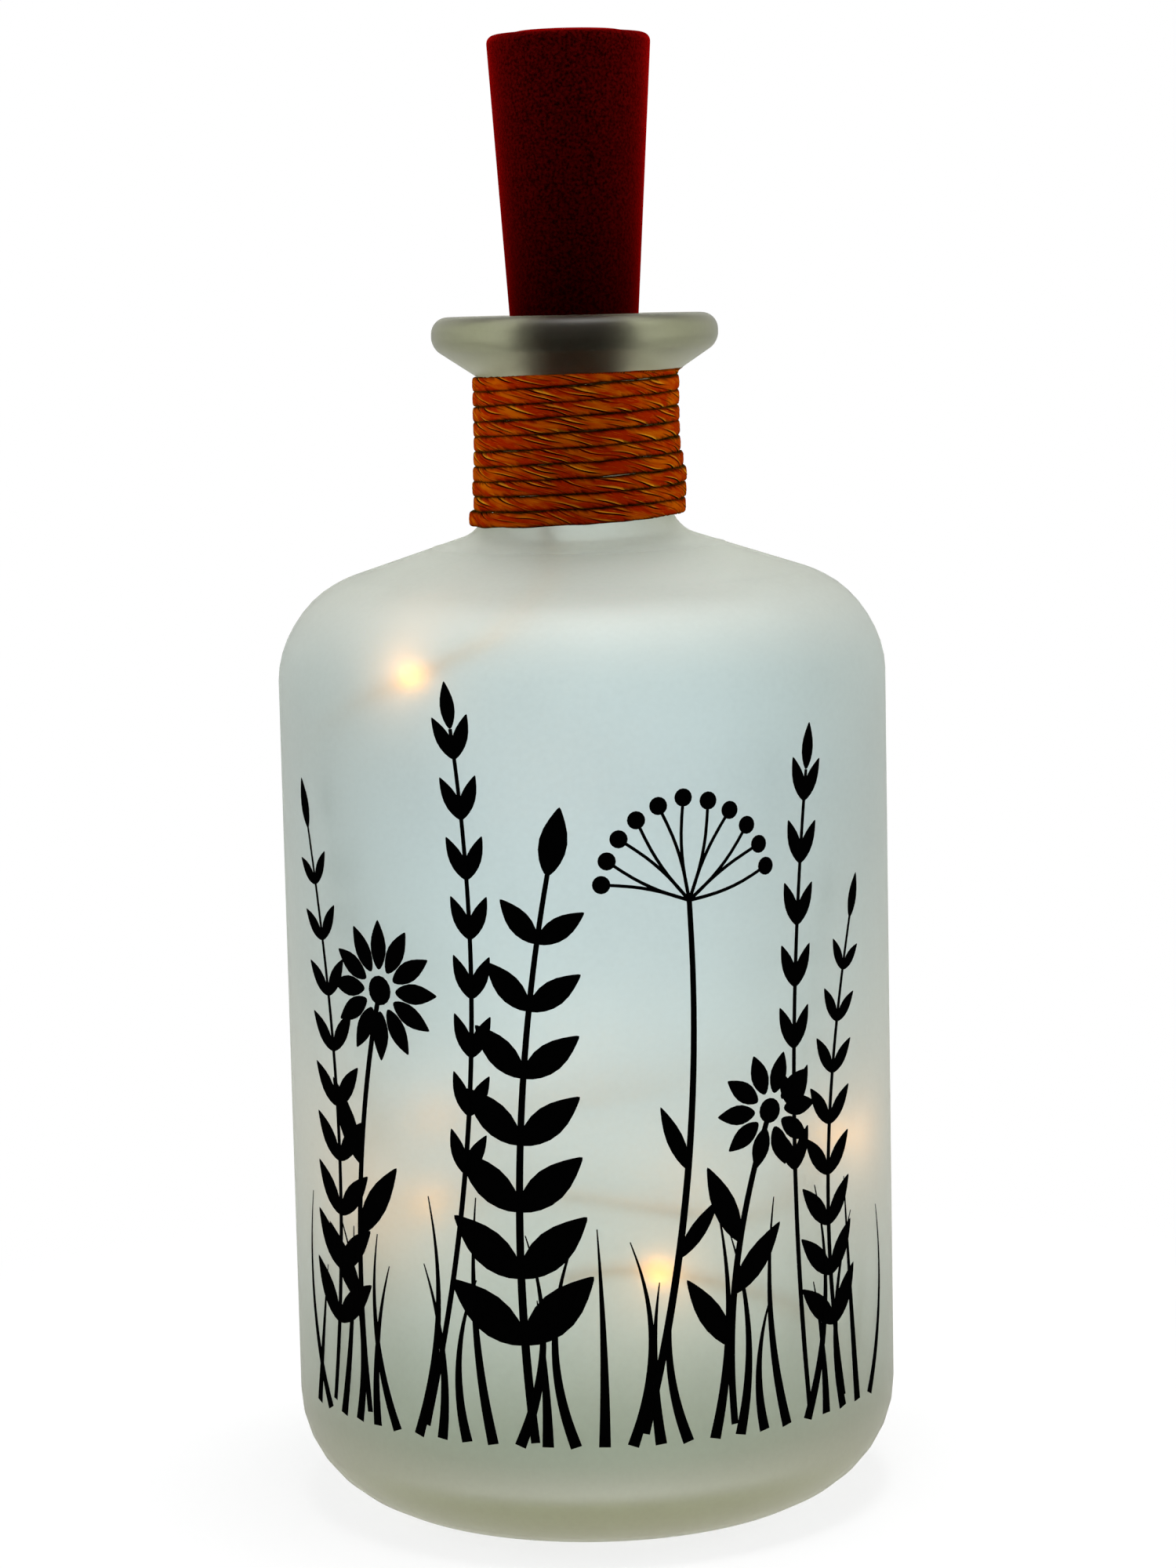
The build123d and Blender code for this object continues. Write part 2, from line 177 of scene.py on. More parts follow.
# %% The light string
half_w, half_t, waist = wire_w / 2, wire_t / 2, wire_t / 4
string_route = nurbs_line("light_string", string_points, 8)
string_path = points_along(string_route)
wire_outline = [
    (-half_w, -half_t), (-half_w, half_t), (-half_w / 3, half_t), (0, waist), (half_w / 3, half_t),
    (half_w, half_t), (half_w, -half_t), (half_w / 3, -half_t), (0, -waist), (-half_w / 3, -half_t),
]
wire_section = nurbs_line("wire_section", [(x, y, 0) for x, y in wire_outline], 3, closed=True)
light_string = drawn_along(string_route, wire_section)
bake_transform(light_string)
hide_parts("string_wire", "string_lead")
print("light string, mm:", round(sum((b - a).length for a, b in zip(string_path, string_path[1:])) / MM))

# %% [markdown]
# ## Finishes
# Each finish is a Principled BSDF whose numbers sit on its own sockets. Nodes work out what varies over
# the surface, and what several finishes share comes from small node groups that are built once.

# %% Helpers for finishes
def finish_named(name, color, roughness, **sockets):
    """A material with one Principled BSDF. Other sockets are given by name, with _ for a space."""
    material = bpy.data.materials.new(name)
    material.use_nodes = True
    shader = material.node_tree.nodes["Principled BSDF"]
    shader.inputs["Base Color"].default_value = (*color, 1)
    shader.inputs["Roughness"].default_value = roughness
    for socket, value in sockets.items():
        shader.inputs[socket.replace("_", " ")].default_value = value
    return material


def shader_of(material):
    return material.node_tree.nodes["Principled BSDF"]


def feed(material, target, value):
    """Links a value to a socket of the material's shader."""
    material.node_tree.links.new(value, shader_of(material).inputs[target])


def node(tree, kind, inputs=(), **settings):
    """Adds a node. Each input is (number or name, value or socket)."""
    made = tree.nodes.new(kind)
    for name, value in settings.items():
        setattr(made, name, value)
    for place, value in inputs:
        if isinstance(value, bpy.types.NodeSocket):
            tree.links.new(value, made.inputs[place])
        else:
            made.inputs[place].default_value = value
    return made


# %% Helpers for nodes
def number_math(tree, operation, *values):
    """A sum on numbers, as a socket."""
    return node(tree, "ShaderNodeMath", list(enumerate(values)), operation=operation).outputs[0]


def vector_math(tree, operation, *values):
    """A sum on vectors, as a socket."""
    made = node(tree, "ShaderNodeVectorMath", list(enumerate(values)), operation=operation)
    return made.outputs["Value" if operation in ("DOT_PRODUCT", "LENGTH") else "Vector"]


def scaled(tree, vector, factor):
    """A vector or a colour times a number, as a socket."""
    given = [(0, vector), ("Scale", factor)]
    return node(tree, "ShaderNodeVectorMath", given, operation="SCALE").outputs[0]


def mapped(tree, value, start, end, low=0.0, high=1.0):
    """Maps the range from start to end onto low to high, as a socket."""
    given = [("Value", value), ("From Min", start), ("From Max", end), ("To Min", low), ("To Max", high)]
    return node(tree, "ShaderNodeMapRange", given).outputs[0]


def blended(tree, share, under, over):
    """Goes from one colour to another by a share. Each colour is three numbers or a socket."""
    ends = [color if isinstance(color, bpy.types.NodeSocket) else (*color, 1) for color in (under, over)]
    given = [(0, share), (6, ends[0]), (7, ends[1])]
    return node(tree, "ShaderNodeMix", given, data_type="RGBA").outputs[2]


def own_place(tree):
    """The object's own coordinates, as a socket."""
    return tree.nodes.new("ShaderNodeTexCoord").outputs["Object"]


def noise_on(tree, place, scale, detail):
    """Noise on a place's coordinates, as a socket."""
    given = [("Vector", place), ("Scale", scale), ("Detail", detail)]
    return node(tree, "ShaderNodeTexNoise", given).outputs["Fac"]


# %% Helpers for node groups and slots
def value_group(name, given, result):
    """An empty node group, the socket of the number that it is given and the one for its result."""
    tree = bpy.data.node_groups.new(name, "ShaderNodeTree")
    tree.interface.new_socket(given, in_out="INPUT", socket_type="NodeSocketFloat")
    tree.interface.new_socket(result, in_out="OUTPUT", socket_type="NodeSocketFloat")
    entry = tree.nodes.new("NodeGroupInput")
    leave = tree.nodes.new("NodeGroupOutput")
    return tree, entry.outputs[given], leave.inputs[result]


def placed(material, tree, **numbers):
    """Puts a node group in a material and gives its inputs their numbers."""
    group = node(material.node_tree, "ShaderNodeGroup", node_tree=tree)
    for socket, number in numbers.items():
        group.inputs[socket].default_value = number
    return group.outputs[0]


def dress(obj, *materials):
    """Puts the materials in the object's slots, in place of what it has."""
    obj.data.materials.clear()
    for material in materials:
        obj.data.materials.append(material)


# %% [markdown]
# ## Turned shapes
# The bottle, the stopper and the lights are round, so each is drawn as half a section and spun. Starting
# from one point, the corners are extruded one after another, each is rounded with a vertex bevel, and
# the spin tool turns the outline into a closed skin.

# %% Turned shapes
def pick(obj, chosen):
    """In edit mode, selects the points that the test accepts, and nothing else."""
    mesh = bmesh.from_edit_mesh(obj.data)
    bpy.ops.mesh.select_all(action="DESELECT")
    for vertex in mesh.verts:
        vertex.select = chosen(vertex.co)
    mesh.select_flush(True)
    bmesh.update_edit_mesh(obj.data)


def spun(name, corners, steps, round_steps=8):
    """A skin turned about Z. Each corner is (radius, height, radius of its round)."""
    places = [Vector((r, 0, z)) for r, z, _ in corners]
    bpy.ops.object.select_all(action="DESELECT")
    bpy.ops.mesh.primitive_plane_add(size=MM)
    obj = bpy.context.object
    obj.name = name
    bpy.ops.object.mode_set(mode="EDIT")
    bpy.ops.mesh.merge(type="CENTER")
    bpy.ops.transform.translate(value=places[0])
    for before, place in zip(places, places[1:]):
        bpy.ops.mesh.extrude_vertices_move(TRANSFORM_OT_translate={"value": place - before})
    if places[0].x > 0:
        bpy.ops.mesh.select_all(action="SELECT")
        bpy.ops.mesh.edge_face_add()
        bpy.ops.mesh.delete(type="ONLY_FACE")
    for i, (_, _, radius) in enumerate(corners):
        if radius == 0:
            continue
        turn = (places[i] - places[i - 1]).angle(places[(i + 1) % len(places)] - places[i])
        pick(obj, lambda co: (co - places[i]).length < 1e-6)
        bpy.ops.mesh.bevel(offset=radius * tan(turn / 2), segments=round_steps, affect="VERTICES",
                           clamp_overlap=False)
    bpy.ops.mesh.select_all(action="SELECT")
    bpy.ops.mesh.spin(steps=steps, angle=2 * pi, center=(0, 0, 0), axis=(0, 0, 1))
    bpy.ops.mesh.select_all(action="SELECT")
    bpy.ops.mesh.remove_doubles(threshold=1e-7)
    bpy.ops.mesh.normals_make_consistent(inside=False)
    bpy.ops.object.mode_set(mode="OBJECT")
    return obj


# %% [markdown]
# ## The bottle
# Blown into a mould, so every corner is round: a punt under the foot, a wide heel, straight sides, a
# shallow shoulder and a lip that flares out like a funnel. The wall is over 3 mm thick and is modelled
# with its inner skin, because the thick floor and the hollow are what the light passes through.

# %% The bottle
body_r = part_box("glass_bottle")[1].x
bottle_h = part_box("glass_bottle")[1].z
glass_wall = 3.2 * MM
foot_r = 26 * MM
foot_ring_width = 3 * MM
punt_h = 3 * MM
punt_flat_r = 13 * MM
floor_z = 8 * MM
floor_round_r = 9 * MM
head_h = 39 * MM
shoulder_round_r = 13.8 * MM
crown_r = 31.3 * MM
crown_slope = radians(26.8)
crown_round_r = 12 * MM
shoulder_slope = radians(18.2)
neck_r = 12.1 * MM
neck_round_r = 5 * MM
bore_r = 8.714 * MM
bore_round_r = 4 * MM
lip_r = 19 * MM
lip_side_h = 4 * MM
lip_slope = radians(33.7)
lip_under_round_r = 2.4 * MM
lip_top_round_r = 2.2 * MM
flare_round_r = 1.5 * MM
mouth_round_r = 0.4 * MM
punt_round_r = 6 * MM
foot_round_r = 1.5 * MM

shoulder_corner_z = bottle_h - head_h
crown_z = shoulder_corner_z + (body_r - crown_r) * tan(crown_slope)
neck_corner_z = crown_z + (crown_r - neck_r) * tan(shoulder_slope)
lip_corner_z = bottle_h - lip_side_h
flare_corner_z = lip_corner_z - (lip_r - neck_r) * tan(lip_slope)
inner_r = body_r - glass_wall
low_way = Vector((sin(crown_slope), cos(crown_slope)))
high_way = Vector((sin(shoulder_slope), cos(shoulder_slope)))
inner_crown = Vector((crown_r, crown_z)) - (low_way + high_way) * (glass_wall / (1 + low_way.dot(high_way)))
inner_shoulder_z = inner_crown.y - (inner_r - inner_crown.x) * tan(crown_slope)
inner_neck_z = inner_crown.y + (inner_crown.x - bore_r) * tan(shoulder_slope)

# The mould leaves a fine raised ring on the shoulder, a little way out from the neck
seam_r = 19.5 * MM
seam_wide = 0.5 * MM
seam_high = 0.07 * MM
seam_z = neck_corner_z - (seam_r - neck_r) * tan(shoulder_slope)
seam_ring = [(seam_r + side * seam_wide / 2, seam_z - side * seam_wide / 2 * tan(shoulder_slope) + up, 0)
             for side, up in ((1, 0), (0.3, seam_high), (-0.3, seam_high), (-1, 0))]

bottle = spun("bottle", [
    (0, punt_h, 0),
    (punt_flat_r, punt_h, punt_round_r),
    (foot_r - foot_ring_width, 0, foot_round_r),
    (body_r, 0, body_r - foot_r),
    (body_r, shoulder_corner_z, shoulder_round_r),
    (crown_r, crown_z, crown_round_r),
    *seam_ring,
    (neck_r, neck_corner_z, neck_round_r),
    (neck_r, flare_corner_z, flare_round_r),
    (lip_r, lip_corner_z, lip_under_round_r),
    (lip_r, bottle_h, lip_top_round_r),
    (bore_r, bottle_h, mouth_round_r),
    (bore_r, inner_neck_z, bore_round_r),
    (inner_crown.x, inner_crown.y, crown_round_r),
    (inner_r, inner_shoulder_z, shoulder_round_r - glass_wall),
    (inner_r, floor_z, floor_round_r),
    (0, floor_z, 0),
], steps=160)
only(bottle)
bpy.ops.object.shade_smooth()
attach(bottle, "bottle")
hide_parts("glass_bottle")
print("bottle faces:", len(bottle.data.polygons))

# %% [markdown]
# ## The twine
# Ten rows of twisted paper lie side by side on the neck. The rows follow one long helix that leans a
# little. Each row is flat where it faces out, and the paper's folds run slantwise along it. A tube is
# laid along the helix ring by ring. Its lengthwise lines of points turn with the twist, so every fold is
# a crisp line of points that is let in, with a raised lip beside it. Points that would lie in the glass
# are moved out of it, which squeezes the top row under the lip, as on the real one.
# Each point also keeps a painted shade for its fold and one for the crease between rows, and a UV map
# follows the paper, all for its finish.

# %% The shape of the neck
def neck_surface(z):
    """Outer radius of the neck between the shoulder and the lip."""
    flare_turn = pi / 2 - lip_slope
    low = neck_corner_z + neck_round_r * tan((pi / 2 - shoulder_slope) / 2)
    high = flare_corner_z - flare_round_r * tan(flare_turn / 2)
    if z < low:
        return neck_r + neck_round_r - sqrt(max(neck_round_r**2 - (low - z) ** 2, 0))
    if z < high:
        return neck_r
    if z < high + flare_round_r * sin(flare_turn):
        return neck_r + flare_round_r - sqrt(flare_round_r**2 - (z - high) ** 2)
    return neck_r + (z - flare_corner_z) / tan(lip_slope)


def out_of_glass(point, clearance):
    """Moves a point square off the lip's underside, and then out to the neck, where it is too close."""
    r = sqrt(point.x**2 + point.y**2)
    outward = Vector((point.x / r, point.y / r, 0))
    deep = (point.z - flare_corner_z - (r - neck_r) * tan(lip_slope)) * cos(lip_slope) + clearance
    if deep > 0:
        r += deep * sin(lip_slope)
        point.z -= deep * cos(lip_slope)
    r = max(r, neck_surface(point.z) + clearance)
    return Vector((outward.x * r, outward.y * r, point.z))


# %% The twine's measures
twine_rows = 10
twine_start_z = 131.62 * MM
twine_pitch = 2.0 * MM
twine_thick = 1.5 * MM
twine_wide = 2.05 * MM
twine_gap = 0.12 * MM
glass_clearance = 0.05 * MM
swell_deep = 0.55 * MM
swell_low_z = 130.8 * MM
swell_high_z = 142 * MM
twist_length = 17 * MM
ring_step = 0.42 * MM
squareness = 3.9
# The cut ends are pinched and glued down
end_pinch = 0.4
end_pinch_length = 3.5 * MM
lean_low_share = 0.012
lean_top_share = 0.036
# How far up the side of a row the painted shade of the crease between two rows starts, and where it is full
crease_shade_from = 0.75
crease_shade_full = 0.88
fold_lip = 0.035 * MM
fold_puff = 0.03 * MM
# In radians, how far a fold's lip lies before its bottom, and its slope and the smooth paper after it
lip_before = 0.08
slope_after = 0.11
paper_after = 0.26
# How much of its depth a fold still has on its slope
slope_share = 0.6
# How much the twine varies along its length, and the length over which each of these changes
size_change, size_span = 0.06, 3 * MM
twist_change, twist_span = 0.9, 7 * MM
fade_change, fade_span = 1.9, 5 * MM
crease_change, crease_span = 0.09, 2.5 * MM
drift_change, drift_span = 0.22, 4 * MM
fade_middle = 0.42
fade_most = 1.2
radius_wander = 0.09 * MM
height_wander = 0.15 * MM
# The rows bulge more on one side, at this turn from the X axis
swell_lean = 0.5
swell_turn = 0.4
# The paper's map counts centimetres along the twine
paper_unit = 10 * MM
# Each fold is its place round the twine in radians, and its depth
folds = [(0.0, 0.24 * MM), (0.78, 0.13 * MM), (2.0, 0.26 * MM), (2.65, 0.15 * MM), (3.9, 0.22 * MM),
         (4.55, 0.12 * MM), (5.4, 0.2 * MM)]


# %% The twine's rings
def fold_lines():
    """The lines of points along the twine: each is its place, its fold, its height and its painted shade.
    """
    lines = []
    for number, (place, deep) in enumerate(folds):
        after = folds[number + 1][0] if number + 1 < len(folds) else 2 * pi
        # The last number of each line is painted light: 1 is painted shade in a fold's bottom, -1 a painted
        # highlight on its lip
        lines += [(place - lip_before, number, fold_lip, -1), (place, number, -deep, 1),
                  (place + slope_after, number, -deep * slope_share, 0.9),
                  (place + paper_after, number, fold_puff / 2, -0.1),
                  ((place + paper_after + after) / 2, number, fold_puff, 0)]
    return lines


def twine_place(angle):
    """A point of the twine's middle line, angle counted from the back in radians."""
    row = angle / (2 * pi)
    z = twine_start_z + twine_pitch * row
    turn = pi / 2 + angle
    r = max(neck_surface(min(z - twine_wide / 3, flare_corner_z - flare_round_r)), neck_r)
    r += twine_gap + twine_thick / 2
    swell = (z - swell_low_z) / (swell_high_z - swell_low_z)
    if 0 < swell < 1:
        r += swell_deep * sin(pi * swell) ** 2 * (1 + swell_lean * cos(turn - swell_turn))
    r += radius_wander * noise.noise((3 * cos(turn), 3 * sin(turn), row))
    lean = lean_low_share + (lean_top_share - lean_low_share) * row / twine_rows
    z += lean * r * cos(turn) + height_wander * noise.noise((3 * cos(turn), 3 * sin(turn), row + 40))
    return Vector((r * cos(turn), r * sin(turn), z))


def twine_section(s, lines, middle, outward, upward, from_end):
    """One ring of the twine at s along it, with the folds where its twist has brought them."""
    ring, shades, crease_shades = [], [], []
    size = 1 + size_change * noise.noise((s / size_span, 0, 7))
    size *= min(end_pinch + (1 - end_pinch) * sin(pi / 2 * min(from_end / end_pinch_length, 1)), 1)
    twist = 2 * pi * s / twist_length + twist_change * noise.noise((s / twist_span, 5, 1))
    fades = [fade_middle + fade_change * noise.noise((s / fade_span, 3 * k, 3)) for k in range(len(folds))]
    fades = [min(max(fade, 0), fade_most) for fade in fades]
    wander = crease_change * noise.noise((s / crease_span, 11, 4))
    drifts = [drift_change * noise.noise((s / drift_span, 9 * k, 8)) for k in range(len(folds))]
    for place, number, height, shade in lines:
        around = place + twist + drifts[number]
        c, d = cos(around), sin(around)
        reach = ((abs(c) * 2 / twine_thick) ** squareness + (abs(d) * 2 / twine_wide) ** squareness)
        reach = size * reach ** (-1 / squareness) + height * fades[number]
        ring.append(out_of_glass(middle + outward * (c * reach) + upward * (d * reach), glass_clearance))
        shades.append(shade * fades[number])
        # How near the point lies to the next row, for the painted shade in the crease between them
        sideways = abs(d * reach) * 2 / twine_wide + wander
        crease_shades.append(min(max((sideways - crease_shade_from) / (crease_shade_full - crease_shade_from), 0), 1))
    return ring, shades, crease_shades


def twine_mesh(lines):
    """The rings' points and faces, how far along the twine each ring is, and each point's painted shades.
    """
    total = 2 * pi * twine_rows
    count = int(total * (neck_r + twine_thick) / ring_step)
    middles = [twine_place(total * k / count) for k in range(count + 1)]
    points, faces, along, shades, crease_shades = [], [], [], [], []
    s = 0
    for k, middle in enumerate(middles):
        before, after = middles[max(k - 1, 0)], middles[min(k + 1, count)]
        ahead = (after - before).normalized()
        outward = Vector((middle.x, middle.y, 0)).normalized()
        upward = ahead.cross(outward).normalized()
        from_end = min(k, count - k) * ring_step
        ring, ring_shades, ring_crease_shades = twine_section(s, lines, middle, outward, upward, from_end)
        points += ring
        shades += ring_shades
        crease_shades += ring_crease_shades
        along.append(s)
        s += (after - middle).length
    n = len(lines)
    for k in range(count):
        for i in range(n):
            j = (i + 1) % n
            faces.append((k * n + i, k * n + j, (k + 1) * n + j, (k + 1) * n + i))
    faces.append(tuple(reversed(range(n))))
    faces.append(tuple(range(count * n, (count + 1) * n)))
    return points, faces, along, shades, crease_shades


# %% The twine's mesh
twine_lines = fold_lines()
twine_points, twine_faces, twine_along, twine_shades, twine_crease_shades = twine_mesh(twine_lines)
twine_data = bpy.data.meshes.new("twine")
twine_data.from_pydata(twine_points, [], twine_faces)
twine_data.attributes.new("fold", "FLOAT", "POINT").data.foreach_set("value", twine_shades)
twine_data.attributes.new("crease_shade", "FLOAT", "POINT").data.foreach_set("value", twine_crease_shades)
twine_uv = twine_data.uv_layers.new(name="paper")
for face in twine_data.polygons:
    first = face.index % len(twine_lines)
    for corner in face.loop_indices:
        ring, line = divmod(twine_data.loops[corner].vertex_index, len(twine_lines))
        lap = 1 if first == len(twine_lines) - 1 and line == 0 else 0
        twine_uv.data[corner].uv = (twine_along[ring] / paper_unit, twine_lines[line][0] / (2 * pi) + lap)
twine = add_object("twine", twine_data)
turn_faces_out(twine)
bpy.ops.object.shade_smooth_by_angle(angle=radians(50))
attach(twine, "bottle")
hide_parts("twine_wrap")
print("twine, mm:", round(twine_along[-1] / MM), "faces:", len(twine_faces))

# %% [markdown]
# ## The stopper
# A moulded plastic shell in the shape of a cork. It tapers by over 3 mm a side, so it wedges in the
# mouth, and its rim is rounded. The cells and the switch sit in its bore, which the insert closes.

# %% The stopper
cork_low, cork_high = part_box("cork_shell")
cork_bottom_r = 7.7 * MM
cork_top_r = cork_high.x
cork_rim_round_r = 1.1 * MM
cork_foot_round_r = 0.4 * MM
cap_recess_r = 8.9 * MM
cap_seat_gap = 0.1 * MM
recess_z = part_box("end_cap")[0].z - cap_seat_gap
cradle_fit = 0.3 * MM
cell_bore_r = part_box("battery_cradle")[1].x + cradle_fit
contact_t = 0.3 * MM
partition_top_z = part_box("return_contact")[1].z - contact_t
partition_t = 1.6 * MM
lower_bore_r = 6.2 * MM

stopper = spun("stopper", [
    (lower_bore_r, cork_low.z, 0),
    (cork_bottom_r, cork_low.z, cork_foot_round_r),
    (cork_top_r, cork_high.z, cork_rim_round_r),
    (cap_recess_r, cork_high.z, 0),
    (cap_recess_r, recess_z, 0),
    (cell_bore_r, recess_z, 0),
    (cell_bore_r, partition_top_z, 0),
    (0, partition_top_z, 0),
    (0, partition_top_z - partition_t, 0),
    (lower_bore_r, partition_top_z - partition_t, 0),
], steps=96)
only(stopper)
bpy.ops.object.shade_smooth_by_angle(angle=radians(35))
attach(stopper, "cork_light")
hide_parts("cork_shell")

# %% [markdown]
# ## The lights
# Each light is a tiny chip soldered between the two wires, with a drop of clear resin run round it. A
# drop is drawn as a turned lens shape and laid along the wire at the middle of its run.

# %% The lights
drop_l = 4.2 * MM
drop_r = 1.6 * MM
drop_end_r = 0.55 * MM


def light_place(run):
    """Where a light sits, and the turn that lays Z along the wire."""
    start, end = Vector(string_points[run]), Vector(string_points[run + 1])
    turn = (end - start).to_track_quat("Z", "Y").to_matrix().to_4x4()
    return Matrix.Translation((start + end) / 2) @ turn


def resin_drop(number, run):
    drop = spun(f"resin_drop_{number:02d}", [
        (0, -drop_l / 2, 0), (drop_end_r, -drop_l / 2, drop_end_r / 3), (drop_r, -drop_l / 6, drop_r / 2),
        (drop_r, drop_l / 6, drop_r / 2), (drop_end_r, drop_l / 2, drop_end_r / 3), (0, drop_l / 2, 0),
    ], steps=24, round_steps=4)
    drop.data.transform(light_place(run))
    only(drop)
    bpy.ops.object.shade_smooth()
    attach(drop, "bottle")
    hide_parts(f"led_drop_{number:02d}")
    return drop


drops = [resin_drop(number, run) for number, run in enumerate(light_runs, 1)]

# %% [markdown]
# ## The print
# A black film with a thin white edge is cut to a meadow of plain plants and pressed on the front of the
# glass. A leaf is modelled once, flat, and copied at many sizes; a stem is a flat ribbon drawn along a
# smooth line. The flat sheet is then cut into narrow upright strips and rolled round the glass, and a
# wider white copy goes under it.

# %% The tools that cut the print
film_parts = []


def disc(vertices, radius, middle):
    """A flat filled circle."""
    bpy.ops.object.select_all(action="DESELECT")
    bpy.ops.mesh.primitive_circle_add(vertices=vertices, radius=radius, fill_type="NGON", location=middle)
    bpy.ops.object.transform_apply(location=True)
    return bpy.context.object


def flat_leaf():
    """A pointed leaf 1 long and 1 wide, its foot at the origin and its tip along X."""
    pattern = disc(20, 0.5, (0.5, 0, 0))
    for vertex in pattern.data.vertices:
        vertex.co.y *= 1 - 0.45 * abs(2 * vertex.co.x - 0.8) ** 2
    return pattern


def leaf(place, angle, length, width):
    """A copy of the flat leaf with its foot at a place, turned and stretched."""
    copy = add_object("film", leaf_pattern.data.copy())
    placing = Matrix.Translation((place[0], place[1], 0)) @ Matrix.Rotation(angle, 4, "Z")
    copy.data.transform(placing @ Matrix.Diagonal((length, width, 1, 1)))
    film_parts.append(copy)


def bow(start, end, bend, steps=12):
    """Points from start to end along a line that bows to its left by a share of its length."""
    start, end = Vector((*start, 0)), Vector((*end, 0))
    across = Vector((start.y - end.y, end.x - start.x, 0))
    shares = [k / steps for k in range(steps + 1)]
    return [start.lerp(end, share) + across * bend * 4 * share * (1 - share) for share in shares]


def stem(points, foot_w, tip_w):
    """A flat ribbon along the points that gets narrower towards its tip."""
    line = nurbs_line("film", points, 2)
    for k, knot in enumerate(line.data.splines[0].points):
        knot.radius = foot_w + (tip_w - foot_w) * k / (len(points) - 1)
    edge = bpy.data.curves.new("edge", "CURVE")
    spline = edge.splines.new("POLY")
    spline.points.add(1)
    spline.points[0].co = (-0.5, 0, 0, 1)
    spline.points[1].co = (0.5, 0, 0, 1)
    film_parts.append(drawn_along(line, add_object("edge", edge)))


def direction(points, k):
    ahead = points[min(k + 1, len(points) - 1)] - points[max(k - 1, 0)]
    return Vector((ahead.x, ahead.y, 0)).angle(Vector((1, 0, 0))) * (1 if ahead.y >= 0 else -1)


# %% The plants
leaf_pattern = flat_leaf()
tip_leaf_share = 0.7
petal_start_share = 0.42
eye_share = 0.3
grain_share = 0.34
blade_count = 26
blade_w = 1.5 * MM
blade_tip_w = 0.15 * MM
# In radians, how far leaves and grains turn out from their stem, and the fan's rays from its middle
daisy_leaf_turn = 0.6
umbel_leaf_turn = 0.5
grain_turn = 0.42
umbel_spread = radians(75)


def sprig(foot, tip, bend, pairs, leaf_l, leaf_w, leaf_turn, stem_w=0.9 * MM):
    """A stem with pairs of leaves that get smaller towards the tip."""
    points = bow(foot, tip, bend, 2 * pairs + 4)
    stem(points, stem_w, stem_w / 2)
    for k in range(pairs):
        spot = points[2 * k + 3]
        heading = direction(points, 2 * k + 3)
        size = 1 - 0.5 * k / pairs
        for side in (1, -1):
            leaf(spot, heading + side * leaf_turn, leaf_l * size, leaf_w * size)
    leaf(points[-2], direction(points, len(points) - 1), tip_leaf_share * leaf_l, tip_leaf_share * leaf_w)


def daisy(foot, head, bend, petals, petal_l, petal_w, leaf_l):
    points = bow(foot, head, bend)
    stem(points, 1.0 * MM, 0.8 * MM)
    for k in range(petals):
        angle = 2 * pi * k / petals
        start = points[-1] + Vector((cos(angle), sin(angle), 0)) * petal_l * petal_start_share
        leaf(start, angle, petal_l, petal_w)
    dot(points[-1], petal_l * eye_share)
    for k, side in ((3, 1), (5, -1), (7, 1)):
        leaf(points[k], direction(points, k) + side * daisy_leaf_turn, leaf_l, leaf_l * 0.3)


def dot(place, radius):
    film_parts.append(disc(16, radius, (place[0], place[1], 0)))


def umbel(foot, head, bend, rays, ray_l, dot_r):
    """A stem that opens into a fan of thin rays, each with a seed at its end."""
    points = bow(foot, head, bend)
    stem(points, 1.1 * MM, 0.7 * MM)
    middle = direction(points, len(points) - 1)
    for k in range(rays):
        turn = 2 * k / (rays - 1) - 1
        angle = middle + umbel_spread * turn
        end = points[-1] + Vector((cos(angle), sin(angle), 0)) * ray_l * (1 - 0.12 * abs(turn))
        stem(bow(points[-1][:2], end[:2], 0.05 * (1 if k % 2 else -1), 4), 0.45 * MM, 0.4 * MM)
        dot(end, dot_r)
    for k, side in ((4, -1), (6, 1)):
        leaf(points[k], direction(points, k) + side * umbel_leaf_turn, 9 * MM, 2.2 * MM)


def ear(foot, tip, bend, grains, grain_l):
    """A grass with grains in two rows along its upper part."""
    grain_w = grain_l * grain_share
    points = bow(foot, tip, bend, 3 * grains)
    stem(points, 0.8 * MM, 0.5 * MM)
    for k in range(grains):
        spot = 3 * grains - 2 * k - 1
        for side in (1, -1):
            leaf(points[spot], direction(points, spot) + side * grain_turn, grain_l, grain_w)
    leaf(points[-1], direction(points, 3 * grains), grain_l, grain_w)


def blade(foot, tip, bend):
    stem(bow(foot, tip, bend), blade_w, blade_tip_w)


# %% The meadow
def mm(*numbers):
    return tuple(number * MM for number in numbers)


sprig(mm(-41, 18), mm(-45, 97), -0.06, 9, 9.5 * MM, 3.4 * MM, 0.75)
daisy(mm(-33, 18), mm(-29, 74), 0.05, 12, 6.4 * MM, 2.7 * MM, 12 * MM)
ear(mm(-23, 18), mm(-17, 108), -0.05, 8, 6.0 * MM)
sprig(mm(-8, 17), mm(-4, 94), 0.04, 7, 12.5 * MM, 5.2 * MM, 0.85, 1.2 * MM)
umbel(mm(6, 18), mm(13, 86), -0.04, 11, 13 * MM, 1.15 * MM)
daisy(mm(18, 18), mm(24, 58), 0.06, 10, 5.4 * MM, 2.6 * MM, 11 * MM)
ear(mm(30, 18), mm(31, 101), 0.03, 7, 6.0 * MM)
sprig(mm(37, 18), mm(41, 84), 0.07, 8, 8.5 * MM, 3.0 * MM, 0.7)
for k in range(blade_count):
    foot_u = -46 + 3.6 * k
    height = 16 + 12 * abs(sin(2.3 * k)) + 7 * abs(sin(1.1 * k + 1))
    blade(mm(foot_u, 16.5), mm(foot_u + 7 * sin(3.1 * k + 0.6), height + 14), 0.1 * sin(1.7 * k))

# %% [markdown]
# The flat parts become one sheet. Rolling turns each point's way along the sheet into an angle round
# the bottle, so wide leaves are first cut into strips 2 mm wide that bend with the glass.

